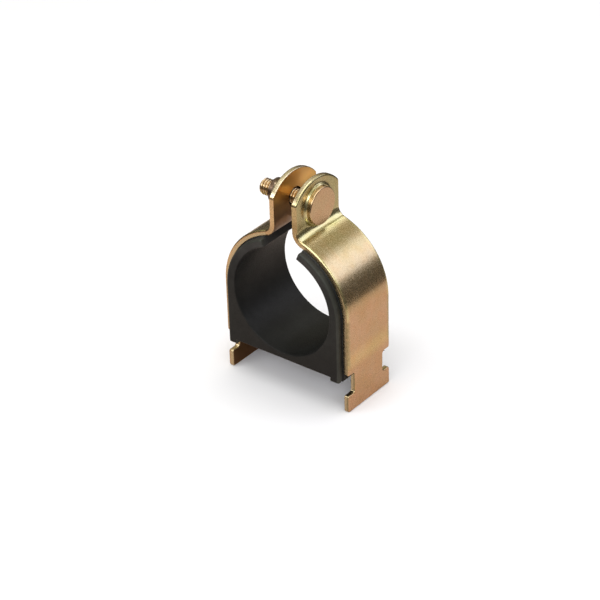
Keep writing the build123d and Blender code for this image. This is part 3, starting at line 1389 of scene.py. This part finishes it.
NUT_PLATING = PlatedFinish(
    name="dull_plated_nut",
    faces=((0.0, (0.17, 0.12, 0.09)),),
    rims=((0.0, (0.34, 0.26, 0.18)),),
    broad_drift=(0.85, 0.9, 0.92),
    fine_drift=(1.1, 1.0, 0.9),
    roughness=(0.26, 0.4),
    rim_roughness=-0.03,
    patch_scale=160.0,
    grain_scale=2000.0,
    grain_depth=0.01 * MM,
)
RUBBER = MouldedFinish(
    name="moulded_black_rubber",
    # Faces: darker towards the bottom, painted shade.
    faces=(
        (-33.0 * MM, (0.0045, 0.005, 0.0055)),
        (-5.0 * MM, (0.008, 0.009, 0.0095)),
        (10.0 * MM, (0.009, 0.0105, 0.0115)),
        (29.0 * MM, (0.028, 0.028, 0.029)),
    ),
    # Rims: a lighter tint, a painted highlight.
    rims=((0.0, (0.026, 0.028, 0.026)),),
    broad_drift=(1.25, 1.25, 1.25),
    fine_drift=(1.4, 1.4, 1.35),
    roughness=(0.40, 0.54),
    specular=0.22,
    patch_scale=70.0,
    grain_scale=1600.0,
    grain_depth=0.02 * MM,
)
RING_PLASTIC = MouldedFinish(
    name="locking_ring_plastic",
    faces=((0.0, (0.62, 0.60, 0.54)),),
    broad_drift=(0.93, 0.93, 0.92),
    fine_drift=(0.95, 0.94, 0.9),
    roughness=(0.4, 0.5),
    specular=0.5,
    patch_scale=70.0,
    grain_scale=1600.0,
    grain_depth=0.01 * MM,
)
FLOOR_PAINT = MouldedFinish(
    name="pale_floor",
    faces=((0.0, (0.84, 0.86, 0.94)),),
    broad_drift=(0.99, 0.99, 0.99),
    fine_drift=(0.99, 0.99, 0.99),
    roughness=(0.75, 0.8),
    specular=0.1,
    patch_scale=4.0,
    grain_scale=300.0,
    grain_depth=0.005 * MM,
)
# A darker copy of the floor paint, painted shade, which the metal reflects in place of the pale
# floor.
SHADED_FLOOR_PAINT = replace(
    FLOOR_PAINT, name="shaded_floor_copy", faces=((0.0, (0.64, 0.55, 0.51)),)
)


def direction(azimuth: float, elevation: float) -> Vector:
    """Return the direction at an azimuth from +Y towards +X and an elevation, in degrees."""
    turn, rise = radians(azimuth), radians(elevation)
    return Vector((sin(turn) * cos(rise), cos(turn) * cos(rise), sin(rise)))


@dataclass(frozen=True)
class SoftBox:
    """A rectangular studio light that faces the clamp.

    Attributes:
        name: The light's name.
        azimuth: Its direction from +Y towards +X, in degrees.
        elevation: Its height above the floor, in degrees.
        distance: Its distance from the clamp.
        width: Its width.
        height: Its height.
        radiance: How bright it looks.
        colour: Its colour.
    """

    name: str
    azimuth: float
    elevation: float
    distance: float
    width: float
    height: float
    radiance: float
    colour: Colour = (1.0, 1.0, 1.0)

    def build(self) -> None:
        """Build the light."""
        light = bpy.data.lights.new(self.name, "AREA")
        light.shape = "RECTANGLE"
        light.size = self.width
        light.size_y = self.height
        light.energy = self.radiance * pi * self.width * self.height
        light.color = self.colour
        lamp = bpy.data.objects.new(self.name, light)
        towards = direction(self.azimuth, self.elevation)
        lamp.location = towards * self.distance
        lamp.rotation_euler = towards.to_track_quat("Z", "Y").to_euler()
        lamp.visible_camera = False
        bpy.context.scene.collection.objects.link(lamp)


LIGHTS = (
    SoftBox("back_softbox", 38.0, 29.0, 1.1, 0.85, 0.46, 1.35, (0.94, 0.94, 1.15)),
    SoftBox("side_softbox", -16.0, 48.5, 1.1, 0.30, 0.20, 2.0),
    SoftBox("front_right_softbox", 140.0, 36.0, 1.3, 1.5, 0.41, 3.2),
    SoftBox("front_left_softbox", 202.0, 36.0, 1.3, 1.5, 0.41, 3.2),
    SoftBox("overhead_softbox", 0.0, 90.0, 2.0, 2.2, 2.2, 2.1),
)


@dataclass(frozen=True)
class PhotoCamera:
    """The camera, which stands as it did for the photograph.

    Attributes:
        position: Where it stands.
        azimuth: Which way it looks, in degrees from +Y towards -X.
        elevation: How far it looks down, in degrees.
        roll: Its roll, in degrees.
        lens: Its focal length, in millimetres on a sensor 36 mm wide.
    """

    position: tuple[float, float, float] = (526.1 * MM, -668.8 * MM, 511.5 * MM)
    azimuth: float = 38.403
    elevation: float = 31.41
    roll: float = -1.665
    lens: float = 130.2

    def build(self) -> None:
        """Build the camera and make it the scene's."""
        data = bpy.data.cameras.new("photo_camera")
        data.lens = self.lens
        camera = bpy.data.objects.new("photo_camera", data)
        back = direction(180.0 - self.azimuth, self.elevation)
        right = Vector((0.0, 0.0, 1.0)).cross(back).normalized()
        turned = Matrix.Rotation(radians(self.roll), 3, back)
        right = turned @ right
        axes = Matrix((right, back.cross(right), back)).transposed()
        camera.matrix_world = Matrix.Translation(self.position) @ axes.to_4x4()
        bpy.context.scene.collection.objects.link(camera)
        bpy.context.scene.camera = camera


@dataclass(frozen=True)
class Studio:
    """The pale floor, the surroundings and the lights.

    Attributes:
        floor_height: Height of the floor.
        near_radius: Radius of the darker copy of the floor, painted as shade, that the metal
            reflects.
        far_radius: Radius of the pale sheet that the camera sees.
        edge_gap: From the pale sheet down to the muted one.
        horizon: Colour of the surroundings near the floor.
        zenith: Colour of the surroundings overhead.
        rise: Heights of a direction between which they change.
        backdrop: Colour that the camera sees behind the clamp.
        floor_corners: Corners of each round sheet.
    """

    floor_height: float
    near_radius: float = 0.24
    far_radius: float = 0.95
    edge_gap: float = 0.2 * MM
    horizon: Colour = (0.105, 0.09, 0.078)
    zenith: Colour = (0.46, 0.41, 0.27)
    rise: Span = (0.06, 0.6)
    backdrop: Colour = (0.98, 0.98, 0.98)
    floor_corners: int = 128

    def disc(self, name: str, radius: float, height: float) -> bpy.types.Object:
        """Build a round sheet of floor."""
        mesh_data = bmesh.new()
        bmesh.ops.create_circle(
            mesh_data, cap_ends=True, radius=radius, segments=self.floor_corners
        )
        mesh = bpy.data.meshes.new(name)
        mesh_data.to_mesh(mesh)
        mesh_data.free()
        sheet = bpy.data.objects.new(name, mesh)
        sheet.location.z = height
        bpy.context.scene.collection.objects.link(sheet)
        return sheet

    def build_floor(self, pale: bpy.types.Material, shaded_copy: bpy.types.Material) -> None:
        """Build the floor that the camera sees and its darker copy, painted as shade, that the
        metal reflects.
        """
        far = self.disc("pale_floor", self.far_radius, self.floor_height)
        near = self.disc("shaded_floor_copy", self.near_radius, self.floor_height - self.edge_gap)
        far.visible_glossy = False
        far.visible_diffuse = False
        far.visible_shadow = False
        near.visible_camera = False
        for sheet, paint in ((far, pale), (near, shaded_copy)):
            sheet.data.materials.append(paint)
            sheet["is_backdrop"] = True

    def build_surroundings(self) -> None:
        """Build the surroundings, darker towards the horizon, with a pale backdrop."""
        world = bpy.data.worlds.new("studio")
        bpy.context.scene.world = world
        world.use_nodes = True
        sheet = NodeSheet(world.node_tree)
        coordinates = sheet.add("ShaderNodeTexCoord").outputs["Generated"]
        upward = sheet.add("ShaderNodeSeparateXYZ", {0: coordinates}).outputs["Z"]
        level = sheet.ranged(upward, self.rise)
        around = sheet.mixed(level, rgba(self.horizon), rgba(self.zenith))
        lit = sheet.add("ShaderNodeBackground", {"Color": around})
        seen = sheet.add("ShaderNodeBackground", {"Color": rgba(self.backdrop)})
        ray = sheet.add("ShaderNodeLightPath").outputs["Is Camera Ray"]
        both = sheet.add("ShaderNodeMixShader", {0: ray, 1: lit.outputs[0], 2: seen.outputs[0]})
        sheet.add("ShaderNodeOutputWorld", {"Surface": both.outputs[0]})

    def build(self, pale: bpy.types.Material, shaded_copy: bpy.types.Material) -> None:
        """Build the whole studio."""
        self.build_floor(pale, shaded_copy)
        self.build_surroundings()
        for light in LIGHTS:
            light.build()
            log.info("light %s", light.name)


def install(
    piece: bpy.types.Object, node: str, body: str, finish: bpy.types.Material
) -> None:
    """Dress a piece, set it on its body and let it stand for its solid.

    Args:
        piece: The piece.
        node: The solid that it stands for.
        body: The body that it rides on.
        finish: Its material.
    """
    piece.data.materials.append(finish)
    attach(piece, body)
    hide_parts(node)
    log.info("%s: %d faces on %s", piece.name, len(piece.data.polygons), body)


class ClampAssembly:
    """The clamp's pieces, sized by the boxes of the solids that they stand for."""

    def __init__(self, effects: EffectLibrary) -> None:
        """Read the boxes of the solids and the place of the bolt.

        Args:
            effects: The effects that the finishes use.
        """
        self.effects = effects
        self.head_low, self.head_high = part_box("clamp_half_head_side")
        self.bolt_low, self.bolt_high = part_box("clamp_bolt")
        self.nut_low, self.nut_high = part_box("lock_nut")
        self.cushion_low, self.cushion_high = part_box("cushion")
        self.line = BoltLine((self.bolt_low.z + self.bolt_high.z) / 2)

    def build_cushion(self) -> None:
        """Build the cushion."""
        cushion = RubberCushion(
            pad_radius=self.cushion_high.x,
            half_width=self.cushion_high.y,
            end_height=self.cushion_high.z,
            foot_bottom=self.cushion_low.z,
            strap_half_width=self.head_high.y,
        )
        rubber = RUBBER.build(self.effects)
        install(cushion.build("rubber_cushion"), "cushion", "head_side", rubber)

    def build_half(self, side: Side, hole_edge: RadiusAt, finish: PlatedFinish) -> None:
        """Build one of the two halves.

        Args:
            side: Which half it is.
            hole_edge: The radius of its hole at each angle.
            finish: Its finish.
        """
        half = StrapHalf(
            side=side,
            hole_edge=hole_edge,
            line=self.line,
            outer_radius=self.head_high.x,
            half_width=self.head_high.y,
            ear_inner=self.head_low.x,
            hook_bottom=self.head_low.z,
        )
        body = f"{side.name.lower()}_side"
        piece = half.build(f"strap_{body}")
        install(piece, f"clamp_half_{body}", body, finish.build(self.effects))

    def build_bolt(self) -> None:
        """Build the bolt."""
        bolt = ThreadedBolt(
            line=self.line,
            tip=self.bolt_low.x,
            head_face=self.bolt_high.x,
            head_radius=self.bolt_high.y,
        )
        plating = BOLT_PLATING.build(self.effects)
        install(bolt.build("threaded_bolt"), "clamp_bolt", "head_side", plating)

    def build_nut(self) -> None:
        """Build the nut."""
        nut = HexLocknut(
            line=self.line,
            face=self.nut_high.x,
            end=self.nut_low.x,
            apothem=(self.nut_high.z - self.nut_low.z) / 2,
        )
        plating = NUT_PLATING.build(self.effects)
        install(nut.build("hex_locknut"), "lock_nut", "nut", plating)

    def dress_ring(self) -> None:
        """Give the nut's locking ring, which keeps its own mesh, its material."""
        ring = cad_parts["nut_insert"]
        ring.data.materials.clear()
        ring.data.materials.append(RING_PLASTIC.build(self.effects))
        log.info("%s: dressed", ring.name)

    def build(self) -> None:
        """Build the pieces in the order in which they are put together."""
        self.build_cushion()
        self.build_half(Side.HEAD, square_radius(SQUARE_HOLE_HALF), HEAD_HALF_PLATING)
        self.build_half(Side.NUT, circle_radius(ROUND_HOLE_RADIUS), NUT_HALF_PLATING)
        self.build_bolt()
        self.build_nut()
        self.dress_ring()


def main() -> None:
    """Build the clamp's pieces, then the studio and the camera."""
    logging.basicConfig(level=logging.INFO, format="%(name)s: %(message)s")
    solid_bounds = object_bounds()
    effects = EffectLibrary()
    ClampAssembly(effects).build()
    studio = Studio(floor_height=solid_bounds[0][2])
    studio.build(FLOOR_PAINT.build(effects), SHADED_FLOOR_PAINT.build(effects))
    PhotoCamera().build()
    bpy.context.scene.view_settings.view_transform = "Standard"


if __name__ == "__main__":
    main()
